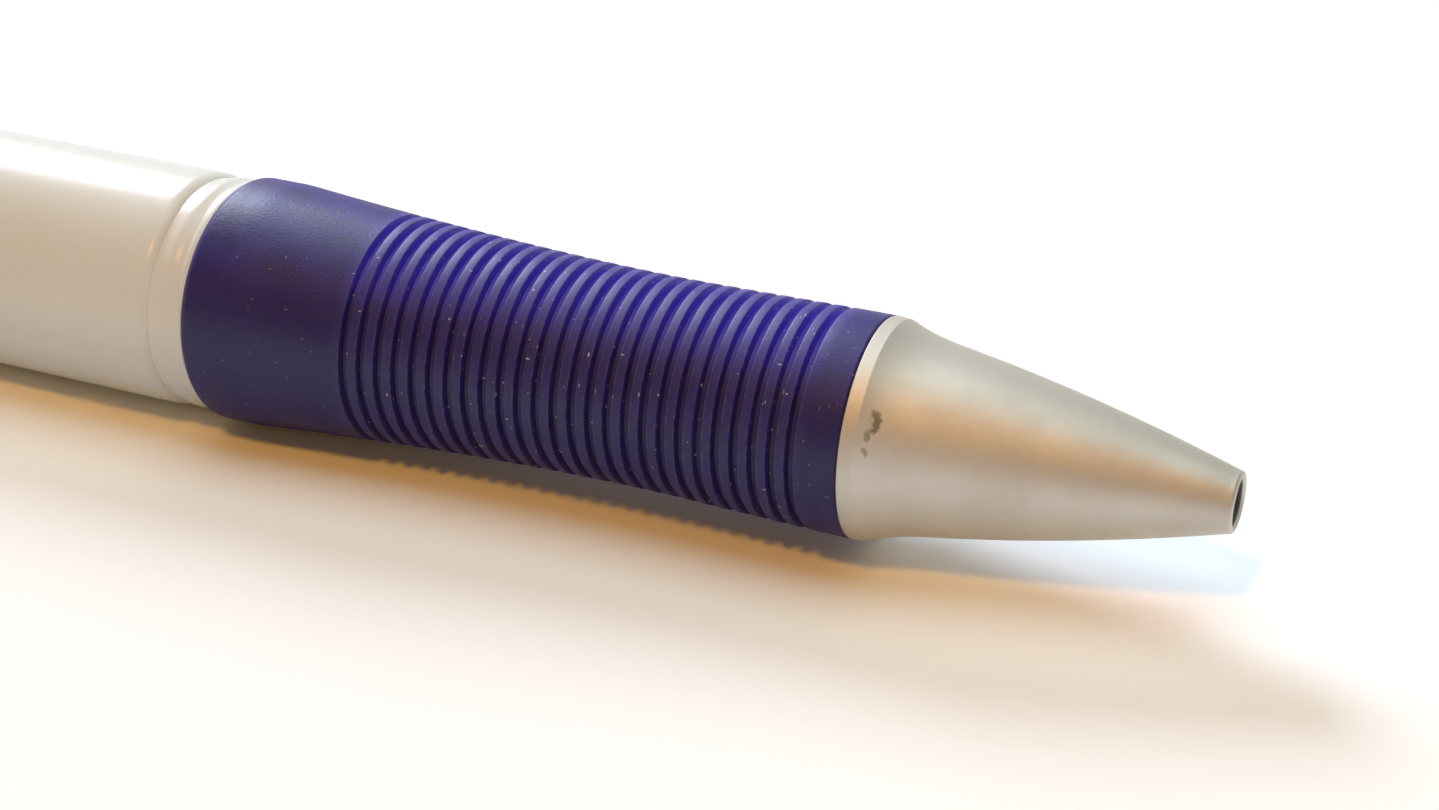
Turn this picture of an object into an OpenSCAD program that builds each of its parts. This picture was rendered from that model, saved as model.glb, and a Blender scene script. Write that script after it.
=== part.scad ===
// Retractable ballpoint pen with a ribbed rubber grip and a satin nose cone, lying on its side.
//
// Every piece is drawn on the pen's own axis, where height is the station: the distance in
// millimetres from the end of the nose cone towards the push button. A profile is a list of
// [radius, station]. lay_down() turns that axis along -X and rests the pen on the surface z = 0,
// where its clip keeps it from rolling. The point is drawn in, with the button standing out.

/* [Nose cone] */
// Length of the nose cone in front of the grip
nose_len = 17.1; // [15.5:0.1:20]
// Diameter of the rim, and of the grip's front edge that meets it
rim_d = 10.6; // [10.4:0.1:11]
// Width of the rim
rim_w = 0.8; // [0.4:0.1:1.2]
// Diameter where the cone ends and the flare to the rim starts
neck_d = 8.88; // [8.4:0.02:9.4]
// Length of the flare between the cone and the rim
flare_len = 2.7; // [2:0.1:3.4]
// Diameter of the cone's small end
tip_d = 2.77; // [2.7:0.01:3.2]
// How far the cone bows out from a straight taper
cone_bow = 0.23; // [0:0.01:0.4]
// Rounding of the cone's small end
tip_round = 0.22; // [0.1:0.01:0.26]
// Length of the hole that the point comes through
tip_hole_len = 2; // [1.2:0.1:2.6]
// Distance from the cone's small end to the seat of the spring
spring_seat = 10; // [9:0.1:11]
// Length of the threaded stem behind the rim
stem_len = 7.8; // [7:0.1:10]
// Wall of the stem inside its thread
stem_wall = 0.55; // [0.5:0.05:0.7]
// Height of the thread
thread_h = 0.25; // [0.15:0.05:0.3]

/* [Grip] */
// Length of the rubber grip
grip_len = 34.1; // [31:0.1:38]
// Diameter at the waist
waist_d = 10.3; // [10.1:0.1:10.5]
// Distance from the grip's front edge to the waist
waist_at = 11.4; // [9:0.1:14]
// Diameter of the round band at the grip's rear
band_d = 12.4; // [12.2:0.1:12.8]
// Length of that round band, without its rounded edge
band_len = 1.9; // [1.5:0.1:3]
// Rounding of the grip's rear edge
band_round = 0.5; // [0.2:0.05:0.6]
// Width of the smooth stretch in front of the first groove
smooth_front = 2.1; // [1.5:0.1:2.6]
// Number of grooves
groove_count = 26; // [12:1:28]
// Distance from one groove to the next
groove_pitch = 0.914; // [0.8:0.002:0.95]
// Width of a groove at its mouth
groove_w = 0.44; // [0.34:0.01:0.55]
// Width of a groove at its floor
groove_floor_w = 0.3; // [0.15:0.01:0.33]
// Depth of a groove
groove_depth = 0.38; // [0.2:0.01:0.45]

/* [Front section] */
// Wall of the tube under the grip
core_wall = 0.8; // [0.7:0.05:0.9]
// Length of the collar that shows behind the grip
collar_len = 2; // [1.4:0.1:2.6]
// How far the collar's edges lie below the barrel
collar_step = 0.28; // [0.1:0.02:0.4]
// How far the collar is crowned between its edges
collar_crown = 0.14; // [0.02:0.01:0.2]
// Wall of the spigot inside the barrel
spigot_wall = 1.3; // [1:0.05:1.4]
// Length of the spigot inside the barrel
spigot_len = 7; // [5:0.1:10]

/* [Barrel] */
// Length of the barrel from the collar to the top collar
barrel_len = 72.8; // [66:0.1:80]
// Diameter of the barrel at its front
barrel_d = 12.06; // [11.9:0.02:12.2]
// Diameter of the barrel at its rear
barrel_rear_d = 11; // [10.8:0.1:11.6]
// Length of the barrel's taper at its rear
taper_len = 36; // [25:0.5:45]
// Rounding of the barrel's front edge
barrel_round = 0.3; // [0.1:0.05:0.4]
// Bore of the barrel round the refill
barrel_bore_d = 8.2; // [7.8:0.1:8.6]

/* [Top collar and button] */
// Length of the top collar behind the barrel
top_len = 5; // [4.6:0.1:6]
// How much narrower the top collar is at its rear
top_taper = 0.8; // [0.2:0.1:1]
// Rounding of the top collar's rear edge
top_round = 0.6; // [0.2:0.1:0.9]
// Length of the top collar's spigot inside the barrel
top_spigot_len = 5.8; // [4:0.1:7]
// Diameter of the push button
button_d = 6.6; // [6.2:0.1:6.8]
// Length of the button that shows when the point is in
button_show = 10; // [9:0.1:12]
// Rounding of the button's end
button_round = 1; // [0.4:0.1:1.4]
// Travel of the button
click_travel = 7; // [6.6:0.1:7.4]

/* [Clip] */
// Length of the clip from its knuckle to its free end
clip_len = 37; // [32:0.5:42]
// Width of the clip at its shoulder
clip_w = 4.4; // [4:0.1:5]
// Width of the clip at its free end
clip_end_w = 3.2; // [2.8:0.1:3.8]
// Thickness of the clip
clip_t = 1.3; // [1:0.1:1.5]
// Room between the clip's shoulder and the widest part of the barrel
clip_room = 1.3; // [1:0.1:2]
// Room between the clip's free end and the barrel
clip_end_room = 0.75; // [0.5:0.05:0.95]
// Length of the clip's level shoulder
shoulder_len = 6; // [4:0.5:8]
// Width of the clip's root and knuckle
root_w = 3.4; // [3:0.1:3.8]
// Radius of the clip's knuckle
knuckle_r = 1; // [0.9:0.05:1.05]
// Radius of the bead that presses on the barrel
bead_r = 0.9; // [0.7:0.05:1]

/* [Click mechanism] */
// Diameter of the cam guide
guide_d = 9.15; // [9:0.05:9.3]
// Bore of the cam guide
guide_bore_d = 7.9; // [7.8:0.05:8]
// Number of ribs in the guide, of lugs on the rotor and of fins on the thrust cam
rib_count = 3; // [2:1:3]
// Angle that a rib or a lug takes up
rib_angle = 18; // [14:1:20]
// Diameter of the rotor and the thrust cam without lugs and fins
hub_d = 5.5; // [5.3:0.05:5.6]
// Length of a lug
lug_len = 3; // [2.4:0.1:3.6]
// Slope of the lugs' rear faces and of the ribs' front faces
lug_slope = 30; // [20:1:35]
// Length of a fin
fin_len = 3; // [2.5:0.1:3.4]
// Travel at which the lugs pass the ends of the ribs
latch_travel = 4.2; // [3.6:0.1:4.5]
// Height of the crown teeth
tooth_h = 0.8; // [0.5:0.05:1]
// Number of crown teeth for each lug
teeth_per_lug = 2; // [2:1:3]
// Diameter of the rod that carries the button
rod_d = 4.9; // [4.6:0.1:5]
// Length of the rod inside the button
rod_grip = 7.5; // [5:0.1:8.5]
// Diameter of the pilot pin on the rotor
pilot_d = 2.2; // [1.8:0.1:2.4]
// Length of the pilot pin
pilot_len = 5; // [4:0.1:6]
// Depth of the rotor's cup for the ink tube
cup_depth = 5; // [4:0.1:6]
// Wall of that cup
cup_wall = 0.7; // [0.5:0.05:0.9]

/* [Refill] */
// How far the ball stays behind the end of the nose cone
ball_recess = 1.8; // [1.2:0.1:2.4]
// Diameter of the ball
ball_d = 1; // [0.7:0.05:1.1]
// Diameter of the metal point
point_d = 1.9; // [1.8:0.02:2]
// Length of the metal point's cone
point_cone_len = 2.5; // [2:0.1:3]
// Diameter of the metal point's tail inside the holder
tail_d = 1.6; // [1.4:0.05:1.7]
// Length of that tail
tail_len = 3; // [2:0.1:4]
// Bore of the ink channel
channel_d = 0.8; // [0.5:0.05:0.9]
// Diameter of the holder's nose
holder_nose_d = 2.6; // [2.4:0.05:2.7]
// Diameter of the holder inside the spring
holder_d = 3.2; // [3:0.05:3.4]
// Width of the flange that the spring pushes on
flange_w = 0.9; // [0.6:0.05:1.2]
// Length of the holder's plug inside the ink tube
plug_len = 4; // [3:0.1:6]
// Wall of the ink tube
tube_wall = 0.5; // [0.4:0.05:0.6]
// Bore of the ink tube
tube_bore_d = 2; // [1.8:0.05:2.2]
// Length of the empty ink tube behind the follower
empty_len = 12; // [5:0.5:50]
// Length of the follower that closes off the ink
follower_len = 3; // [2:0.1:5]

/* [Spring] */
// Diameter of the spring wire
wire_d = 0.35; // [0.25:0.05:0.4]
// Length of the spring with the point in
spring_len = 14; // [13.5:0.1:15]
// Number of turns
turn_count = 9; // [6:1:10]

/* [Clearances] */
// Gap between pieces that are pressed, screwed or moulded together
fit_gap = 0.03; // [0.02:0.005:0.05]
// Gap between pieces that slide or turn
slide_gap = 0.1; // [0.06:0.01:0.12]
// Room for the spring, inside and outside its wire
spring_room = 0.25; // [0.2:0.01:0.3]
// Gap between the ball and its socket
ball_gap = 0.02; // [0.01:0.005:0.03]
// Gap between the clip's bead and the barrel
bead_gap = 0.15; // [0.1:0.01:0.3]
// Gap that keeps a moving end clear of what it faces
end_gap = 0.4; // [0.3:0.05:0.6]

/* [Hidden] */
$fn = 96;

// Stations of the outside, from the nose to the button
grip_front = nose_len;
grip_rear = grip_front + grip_len;
seam = grip_rear + collar_len;
barrel_rear = seam + barrel_len;
top_rear = barrel_rear + top_len;
button_rear = top_rear + button_show;

// Stations of the click mechanism, from the barrel's rear end forwards
guide_rear = barrel_rear - top_spigot_len;
fin_rear = guide_rear - 2 * slide_gap;
fin_front = fin_rear - fin_len;
crown = fin_front - tooth_h - fit_gap;
rotor_tip = crown - 1.5 * slide_gap;
lug_rear = rotor_tip - tooth_h - slide_gap;
lug_front = lug_rear - lug_len;
rib_front = lug_rear - latch_travel;
guide_front = lug_front - click_travel - 2 * end_gap;
cup_floor = lug_front - cup_wall;
cup_front = cup_floor - cup_depth;
button_front = guide_rear + click_travel + end_gap;
rod_rear = button_front + rod_grip;

// Radii of the click mechanism
lug_r = guide_bore_d / 2 - slide_gap;
rib_r = hub_d / 2 + slide_gap;
rib_pitch = 360 / rib_count;

// Stations of the refill, from the nose backwards
hole_flare = 0.6;
ball_at = ball_recess + ball_d / 2;
point_rear = tip_hole_len + hole_flare + click_travel + 2 * end_gap;
holder_step = spring_seat + click_travel + end_gap;
spring_rear = spring_seat + spring_len;
flange_front = spring_rear + fit_gap;
tube_front = flange_front + flange_w + fit_gap;
tube_rear = cup_floor - fit_gap;
ink_front = tube_front + plug_len + fit_gap;
follower_rear = tube_rear - empty_len;
follower_front = follower_rear - follower_len;

// Radii of the refill and of what it passes through, from the inside outwards
tip_hole_r = point_d / 2 + slide_gap;
holder_bore_r = holder_nose_d / 2 + slide_gap;
tube_r = tube_bore_d / 2 + tube_wall;
fill_r = tube_bore_d / 2 - fit_gap;
coil_r = holder_d / 2 + spring_room + wire_d / 2;
flange_r = coil_r + wire_d / 2;
spring_bore_r = flange_r + spring_room;
stem_r = spring_bore_r + stem_wall;
core_bore_r = stem_r + thread_h + fit_gap;
core_r = core_bore_r + core_wall;
spigot_r = core_bore_r + spigot_wall;
guide_seat_r = guide_d / 2 + fit_gap;

// The clip, whose lower edge lies on the surface beside the grip's rear band
knuckle_at = barrel_rear + top_len / 2;
knuckle_out = barrel_rear_d / 2 - knuckle_r / 2;
root_half = 1.2 * knuckle_r;
root_top = barrel_rear_d / 2 + knuckle_r / 2;
shoulder_rear = barrel_rear;
shoulder_front = shoulder_rear - shoulder_len;
clip_end = knuckle_at - clip_len;
bead_at = clip_end + clip_end_w / 2;
clip_reach = barrel_d / 2 + clip_room + clip_t;
rest_r = max(band_d, barrel_d) / 2;
clip_corner = norm([clip_reach, clip_w / 2]);
clip_droop = asin(rest_r / clip_corner) - atan(clip_w / 2 / clip_reach);
clip_side = clip_reach * cos(clip_droop) + clip_w / 2 * sin(clip_droop);

// Place of the pen's axis on the surface, with the origin under the middle of the pen's box
axis_x = button_rear / 2;
axis_y = (rest_r - clip_side) / 2;
echo(axis_x = axis_x, axis_y = axis_y, axis_z = rest_r, clip_droop = clip_droop);
echo(knuckle_at = knuckle_at, knuckle_out = knuckle_out, ball_at = ball_at);
echo(band_front = grip_rear - band_round - band_len, band_rear = grip_rear - band_round);

// Points of an arc round c, from angle a to angle b
function arc(c, r, a, b, n = 6) =
    [for (i = [0:n]) let (t = a + (b - a) * i / n) c + r * [cos(t), sin(t)]];

// Radius and slope of the nose cone at station s, between its small end and the flare
cone_end = nose_len - rim_w - flare_len;
function cone_r(s) = let (t = s / cone_end)
    (tip_d * (1 - t) + neck_d * t) / 2 + 4 * cone_bow * t * (1 - t);
function cone_slope(s) = (neck_d - tip_d) / 2 / cone_end + 4 * cone_bow / cone_end * (1 - 2 * s / cone_end);

// Radius of the flare at a share t of its length: it leaves the cone smoothly and turns out to the rim
rim_round = 0.1;
flare_power = 2.3;
flare_end_r = rim_d / 2 - rim_round / 2;
flare_run = cone_slope(cone_end) * flare_len;
function flare_r(t) =
    neck_d / 2 + flare_run * t + (flare_end_r - neck_d / 2 - flare_run) * pow(t, flare_power);

// Radius of the grip at station s without its grooves: it sinks to the waist and swells to the band
waist = grip_front + waist_at;
band_front = grip_rear - band_round - band_len;
swell_power = 1.65;
function grip_r(s) =
    s < waist ? waist_d / 2 + (rim_d - waist_d) / 4 * (1 + cos(180 * (s - grip_front) / waist_at))
    : waist_d / 2 + (band_d - waist_d) / 2 * pow(min(1, (s - waist) / (band_front - waist)), swell_power);

// Radius of the barrel at station s: straight, then a smooth taper to the rear
taper_front = barrel_rear - taper_len;
function barrel_r(s) = let (t = max(0, (s - taper_front) / taper_len))
    (barrel_d - (barrel_d - barrel_rear_d) * t * t * (3 - 2 * t)) / 2;

// Middle of the spring's wire at ring i, and the least gap between neighbouring turns, in millimetres
rings_per_turn = 12;
ring_count = turn_count * rings_per_turn;
coil_front = spring_seat + fit_gap + wire_d / 2;
coil_rise = spring_len - 2 * fit_gap - wire_d;
function coil_point(i) = let (a = 360 * i / rings_per_turn)
    [coil_r * cos(a), coil_r * sin(a), coil_front + coil_rise * i / ring_count];
turn_gaps = [for (i = [0:ring_count - rings_per_turn], k = [-1:1])
    norm(coil_point(min(i + rings_per_turn + k, ring_count)) - coil_point(i)) - wire_d];
echo(spring_least_gap = min(turn_gaps));

// Turns the pen's axis along -X and rests it on the surface
module lay_down() translate([axis_x, axis_y, rest_r]) rotate([0, -90, 0]) children();

// Turns what is drawn on the +X side of the axis to the clip's side
module to_clip_side() rotate([0, 0, 90 + clip_droop]) children();

module turned(profile) rotate_extrude() polygon(profile);

module rod(r, a, b) translate([0, 0, a]) cylinder(r = r, h = b - a);

module tube(inner_r, outer_r, a, b) turned([[inner_r, a], [outer_r, a], [outer_r, b], [inner_r, b]]);

module round_axis(count) for (i = [0:count - 1]) rotate([0, 0, 360 * i / count]) children();

// A block round the axis that takes up an angle, between two radii and two stations
module sector(inner_r, outer_r, a, b, angle)
    rotate([0, 0, -angle / 2]) rotate_extrude(angle = angle)
        polygon([[inner_r, a], [outer_r, a], [outer_r, b], [inner_r, b]]);

// Half of all space behind a slope that falls towards +Y from an edge at -y and station s
module behind_slope(y, s)
    translate([0, -y, s]) rotate([-lug_slope, 0, 0]) translate([0, -lug_r, 0]) cube([2, 4, 2] * lug_r);

// V notches that leave crown teeth on the rear end of a hub at station 0
module crown_notches() {
    notch_share = 0.9;
    tooth_count = teeth_per_lug * rib_count;
    half_w = notch_share * PI * hub_d / 2 / tooth_count;
    notch = [[-half_w, tooth_h], [-half_w, 0], [0, -tooth_h], [half_w, 0], [half_w, tooth_h]];
    round_axis(tooth_count) rotate([90, 0, 90]) linear_extrude(hub_d) polygon(notch);
}

module nose_cone() {
    cone_steps = 12;
    flare_steps = 8;
    ridge_count = 5;
    relief_len = 1;
    slope = cone_slope(tip_round);
    lip_c = [cone_r(tip_round) - tip_round * norm([1, slope]), tip_round];
    cone_front = 2 * tip_round;
    ridge = [[0, 0.2], [thread_h, 0.4], [thread_h, 0.6], [0, 0.8]];
    ridge_pitch = (stem_len - relief_len) / ridge_count;
    stem_rear = nose_len + stem_len;
    color("silver") turned(concat(
        [[tip_hole_r, 0]],
        arc(lip_c, tip_round, -90, -atan(slope), 4),
        [for (i = [0:cone_steps])
            let (s = cone_front + (cone_end - cone_front) * i / cone_steps) [cone_r(s), s]],
        [for (i = [1:flare_steps]) let (t = i / flare_steps) [flare_r(t), cone_end + flare_len * t]],
        [[rim_d / 2, nose_len - rim_round], [rim_d / 2 - rim_round, nose_len], [stem_r, nose_len]],
        [for (i = [0:ridge_count - 1], p = ridge)
            [stem_r + p[0], nose_len + relief_len + (i + p[1]) * ridge_pitch]],
        [[stem_r, stem_rear], [spring_bore_r, stem_rear], [spring_bore_r, spring_seat]],
        [[holder_bore_r, spring_seat], [holder_bore_r, tip_hole_len + hole_flare]],
        [[tip_hole_r, tip_hole_len]]));
}

module grip() {
    front_round = 0.15;
    smooth_steps = 6;
    bore_r = core_r + fit_gap;
    first = grip_front + smooth_front + groove_w / 2;
    ribbed_end = first + (groove_count - 1) * groove_pitch + groove_w / 2;
    groove = [[0, -groove_w / 2], [-groove_depth, -groove_floor_w / 2],
              [-groove_depth, groove_floor_w / 2], [0, groove_w / 2]];
    color("darkslateblue") turned(concat(
        [[bore_r, grip_front], [rim_d / 2 - front_round, grip_front]],
        [[grip_r(grip_front + front_round), grip_front + front_round]],
        [for (i = [0:groove_count - 1], p = groove)
            let (s = first + i * groove_pitch + p[1]) [grip_r(s) + p[0], s]],
        [for (i = [1:smooth_steps])
            let (s = ribbed_end + (band_front - ribbed_end) * i / smooth_steps) [grip_r(s), s]],
        arc([band_d / 2 - band_round, grip_rear - band_round], band_round, 0, 90),
        [[bore_r, grip_rear]]));
}

module front_section() {
    crown_steps = 8;
    edge_r = barrel_d / 2 - collar_step;
    color("white") turned(concat(
        [[core_bore_r, grip_front], [core_r, grip_front], [core_r, grip_rear]],
        [for (i = [0:crown_steps]) let (t = i / crown_steps)
            [edge_r + 4 * collar_crown * t * (1 - t), grip_rear + collar_len * t]],
        [[spigot_r, seam], [spigot_r, seam + spigot_len], [core_bore_r, seam + spigot_len]]));
}

module barrel() {
    taper_steps = 14;
    edge_c = [barrel_d / 2 - barrel_round, seam + barrel_round];
    socket_r = spigot_r + fit_gap;
    socket_end = seam + spigot_len + end_gap;
    guide_stop = guide_front - fit_gap;
    color("white") turned(concat(
        [[socket_r, seam]],
        arc(edge_c, barrel_round, -90, 0),
        [for (i = [0:taper_steps])
            let (s = taper_front + taper_len * i / taper_steps) [barrel_r(s), s]],
        [[guide_seat_r, barrel_rear], [guide_seat_r, guide_stop], [barrel_bore_d / 2, guide_stop]],
        [[barrel_bore_d / 2, socket_end], [socket_r, socket_end]]));
}

module top_collar() {
    front_round = 0.1;
    hole_r = button_d / 2 + slide_gap;
    rear_r = (barrel_rear_d - top_taper) / 2;
    slot_w = root_w + 2 * slide_gap;
    slot_half = root_half + 1.5 * slide_gap;
    color("silver") difference() {
        turned(concat(
            [[hole_r, guide_rear], [guide_d / 2, guide_rear], [guide_d / 2, barrel_rear]],
            [[barrel_rear_d / 2 - front_round, barrel_rear], [barrel_rear_d / 2, barrel_rear + front_round]],
            arc([rear_r - top_round, top_rear - top_round], top_round, 0, 90),
            [[hole_r, top_rear]]));
        to_clip_side() translate([knuckle_out, 0, knuckle_at]) {
            translate([0, -slot_w / 2, -slot_half]) cube([knuckle_out, slot_w, 2 * slot_half]);
            rotate([90, 0, 0]) cylinder(r = knuckle_r + slide_gap, h = slot_w, center = true);
        }
    }
}

// The clip's root and shoulder bend out of the top collar, and its arm runs forward to the bead
module clip() {
    bend_r = 1.6;
    inner_bend_r = 0.8;
    bead_share = 0.7;
    inner = clip_reach - clip_t;
    end_inner = barrel_r(bead_at) + clip_end_room;
    bead_out = barrel_r(bead_at) + bead_gap + bead_r;
    root_rear = knuckle_at + root_half;
    side = concat(
        [[knuckle_out, knuckle_at + knuckle_r / 2], [root_top, root_rear]],
        arc([clip_reach - bend_r, root_rear - bend_r], bend_r, 60, 0),
        [[clip_reach, shoulder_front], [end_inner + clip_t, clip_end], [end_inner, clip_end]],
        [[inner, shoulder_front], [inner, shoulder_rear - inner_bend_r]],
        arc([inner - inner_bend_r, shoulder_rear - inner_bend_r], inner_bend_r, 0, 60),
        [[root_top, knuckle_at - root_half], [knuckle_out, knuckle_at - knuckle_r / 2]]);
    plan = concat(
        arc([0, clip_end + clip_end_w / 2], clip_end_w / 2, 180, 360, 12),
        [[clip_w / 2, shoulder_front], [clip_w / 2, root_rear]],
        [[-clip_w / 2, root_rear], [-clip_w / 2, shoulder_front]]);
    color("silver") to_clip_side() {
        intersection() {
            rotate([90, 0, 0]) linear_extrude(clip_w, center = true) polygon(side);
            union() {
                translate([root_top, 0, 0]) rotate([90, 0, 90]) linear_extrude(clip_reach) polygon(plan);
                translate([0, -root_w / 2, shoulder_rear]) cube([root_top, root_w, top_len]);
            }
        }
        translate([knuckle_out, 0, knuckle_at]) rotate([90, 0, 0])
            cylinder(r = knuckle_r, h = root_w, center = true);
        translate([bead_out, 0, bead_at]) rotate([90, 0, 0])
            cylinder(r = bead_r, h = bead_share * clip_end_w, center = true);
    }
}

module push_button() {
    bore_r = rod_d / 2 + fit_gap;
    bore_rear = rod_rear + fit_gap;
    color("silver") turned(concat(
        [[bore_r, button_front], [button_d / 2, button_front]],
        arc([button_d / 2 - button_round, button_rear - button_round], button_round, 0, 90),
        [[0, button_rear], [0, bore_rear], [bore_r, bore_rear]]));
}

// Pushed by the button, with crown teeth that turn the rotor and fins that keep it from turning
module thrust_cam() {
    fin_gap_angle = 3;
    fin_angle = rib_pitch - rib_angle - 2 * fin_gap_angle;
    pilot_bore_r = pilot_d / 2 + slide_gap;
    pilot_bore_end = rotor_tip + pilot_len + end_gap;
    color("whitesmoke") {
        difference() {
            turned([[pilot_bore_r, crown], [hub_d / 2, crown], [hub_d / 2, fin_rear],
                    [rod_d / 2, fin_rear], [rod_d / 2, rod_rear], [0, rod_rear],
                    [0, pilot_bore_end], [pilot_bore_r, pilot_bore_end]]);
            translate([0, 0, crown]) mirror([0, 0, 1]) crown_notches();
        }
        round_axis(rib_count) sector((hub_d + rod_d) / 4, lug_r, fin_front, fin_rear, fin_angle);
    }
}

// Turned a step at each click, with lugs that catch on the ends of the guide's ribs
module rotor() {
    cup_r = tube_r + slide_gap;
    lug_half_w = lug_r * sin(rib_angle / 2);
    color("gainsboro") {
        difference() {
            turned([[0, cup_floor], [cup_r, cup_floor], [cup_r, cup_front],
                    [cup_r + cup_wall, cup_front], [cup_r + cup_wall, cup_floor],
                    [hub_d / 2, lug_front], [hub_d / 2, rotor_tip], [0, rotor_tip]]);
            translate([0, 0, rotor_tip]) crown_notches();
        }
        rod(pilot_d / 2, lug_rear, rotor_tip + pilot_len);
        round_axis(rib_count) difference() {
            sector(pilot_d / 2, lug_r, lug_front, lug_rear, rib_angle);
            behind_slope(lug_half_w, lug_rear);
        }
    }
}

module cam_guide() {
    rib_half_w = lug_r * sin(rib_angle / 2);
    rib_drop = 2 * rib_half_w * tan(lug_slope);
    wall_middle_r = (guide_d + guide_bore_d) / 4;
    color("ivory") {
        tube(guide_bore_d / 2, guide_d / 2, guide_front, guide_rear);
        rotate([0, 0, rib_pitch / 2]) round_axis(rib_count) intersection() {
            sector(rib_r, wall_middle_r, rib_front, guide_rear, rib_angle);
            union() {
                behind_slope(rib_half_w, rib_front + rib_drop);
                rod(guide_d, rib_front + rib_drop, guide_rear);
            }
        }
    }
}

// One unbroken round wire along a helix
module spring() {
    sides = 6;
    lean = atan(coil_rise / turn_count / (2 * PI * coil_r));
    function ring(i) = let (a = 360 * i / rings_per_turn,
        out = [cos(a), sin(a), 0], up = [sin(a) * sin(lean), -cos(a) * sin(lean), cos(lean)])
        [for (k = [0:sides - 1]) let (b = 360 * k / sides)
            coil_point(i) + wire_d / 2 * (cos(b) * out + sin(b) * up)];
    skin = [for (i = [0:ring_count - 1], k = [0:sides - 1])
        let (a = i * sides + k, b = i * sides + (k + 1) % sides)
        each [[a, a + sides, b], [b, a + sides, b + sides]]];
    last = ring_count * sides;
    front_cap = [for (k = [1:sides - 2]) [0, k, k + 1]];
    rear_cap = [for (k = [1:sides - 2]) [last, last + k + 1, last + k]];
    color("lightsteelblue")
        polyhedron([for (i = [0:ring_count]) each ring(i)], concat(skin, front_cap, rear_cap));
}

module ink_tube() color("gainsboro") tube(tube_bore_d / 2, tube_r, tube_front, tube_rear);

module ink() color("midnightblue") rod(fill_r, ink_front, follower_front - fit_gap);

module ink_follower() color("wheat") rod(fill_r, follower_front, follower_rear);

// Holds the metal point, carries the flange for the spring and plugs the ink tube
module point_holder() {
    nose_taper = 1.5;
    socket_r = tail_d / 2 + fit_gap;
    socket_end = point_rear + tail_len + fit_gap;
    plug_rear = tube_front + plug_len;
    color("whitesmoke") turned([
        [socket_r, point_rear], [point_d / 2, point_rear],
        [holder_nose_d / 2, point_rear + nose_taper], [holder_nose_d / 2, holder_step],
        [holder_d / 2, holder_step + hole_flare], [holder_d / 2, flange_front],
        [flange_r, flange_front], [flange_r, tube_front - fit_gap],
        [fill_r, tube_front - fit_gap], [fill_r, plug_rear],
        [channel_d / 2, plug_rear], [channel_d / 2, socket_end], [socket_r, socket_end]]);
}

module point() {
    lip_at = ball_at - 0.2 * ball_d;
    lip_r = 0.58 * ball_d;
    body_rear = point_rear - fit_gap;
    tail_rear = point_rear + tail_len;
    color("goldenrod") difference() {
        turned([[0, lip_at], [lip_r, lip_at], [point_d / 2, lip_at + point_cone_len],
                [point_d / 2, body_rear], [tail_d / 2, body_rear], [tail_d / 2, tail_rear], [0, tail_rear]]);
        translate([0, 0, ball_at]) sphere(r = ball_d / 2 + ball_gap);
        rod(channel_d / 2, ball_at, tail_rear + end_gap);
    }
}

module ball() color("dimgray") translate([0, 0, ball_at]) sphere(d = ball_d);

lay_down() nose_cone();
lay_down() grip();
lay_down() front_section();
lay_down() barrel();
lay_down() top_collar();
lay_down() clip();
lay_down() push_button();
lay_down() thrust_cam();
lay_down() rotor();
lay_down() cam_guide();
lay_down() spring();
lay_down() ink_tube();
lay_down() ink();
lay_down() ink_follower();
lay_down() point_holder();
lay_down() point();
lay_down() ball();
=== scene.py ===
"""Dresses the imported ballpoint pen: its outside pieces, its materials, and the stage it lies on."""

import math
from functools import reduce

import bpy
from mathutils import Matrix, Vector


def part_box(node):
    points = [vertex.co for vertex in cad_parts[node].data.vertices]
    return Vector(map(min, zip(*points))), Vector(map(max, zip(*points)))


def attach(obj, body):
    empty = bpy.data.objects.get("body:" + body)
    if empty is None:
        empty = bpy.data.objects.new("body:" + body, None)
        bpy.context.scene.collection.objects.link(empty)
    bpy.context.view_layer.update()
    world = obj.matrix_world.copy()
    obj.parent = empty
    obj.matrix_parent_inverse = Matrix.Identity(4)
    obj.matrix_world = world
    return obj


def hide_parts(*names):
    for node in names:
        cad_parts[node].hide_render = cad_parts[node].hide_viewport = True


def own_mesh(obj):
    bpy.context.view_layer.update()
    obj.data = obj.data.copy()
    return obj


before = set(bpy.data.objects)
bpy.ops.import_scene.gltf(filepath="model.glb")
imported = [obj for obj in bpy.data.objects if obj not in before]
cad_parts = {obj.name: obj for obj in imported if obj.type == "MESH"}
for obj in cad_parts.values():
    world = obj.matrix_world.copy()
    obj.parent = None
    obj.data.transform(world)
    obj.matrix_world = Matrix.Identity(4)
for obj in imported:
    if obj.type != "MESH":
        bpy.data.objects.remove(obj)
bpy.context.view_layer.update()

bl_info = {
    "name": "Ballpoint Pen",
    "version": (1, 0, 0),
    "blender": (4, 5, 0),
    "location": "View3D > Sidebar > Pen",
    "description": "Builds the pieces, materials and stage of a retractable ballpoint pen",
    "category": "Object",
}

MM = 0.001
MERGE_WITHIN = 0.0002 * MM
SEAT_GAP = 0.03 * MM
ROUND_STEPS = 160

# The pen's axis runs along X. A station is the distance from the end of the nose cone to a point.
TIP_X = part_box("nose_cone")[1].x
AXIS = (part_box("barrel")[0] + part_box("barrel")[1]) / 2
AXIS.x = 0

# Front and rear station of each node, and its largest radius where it is turned
FRONT, REAR, RADIUS = {}, {}, {}
for node_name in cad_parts:
    low_corner, high_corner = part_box(node_name)
    FRONT[node_name], REAR[node_name] = TIP_X - high_corner.x, TIP_X - low_corner.x
    RADIUS[node_name] = (high_corner.z - low_corner.z) / 2


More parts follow.
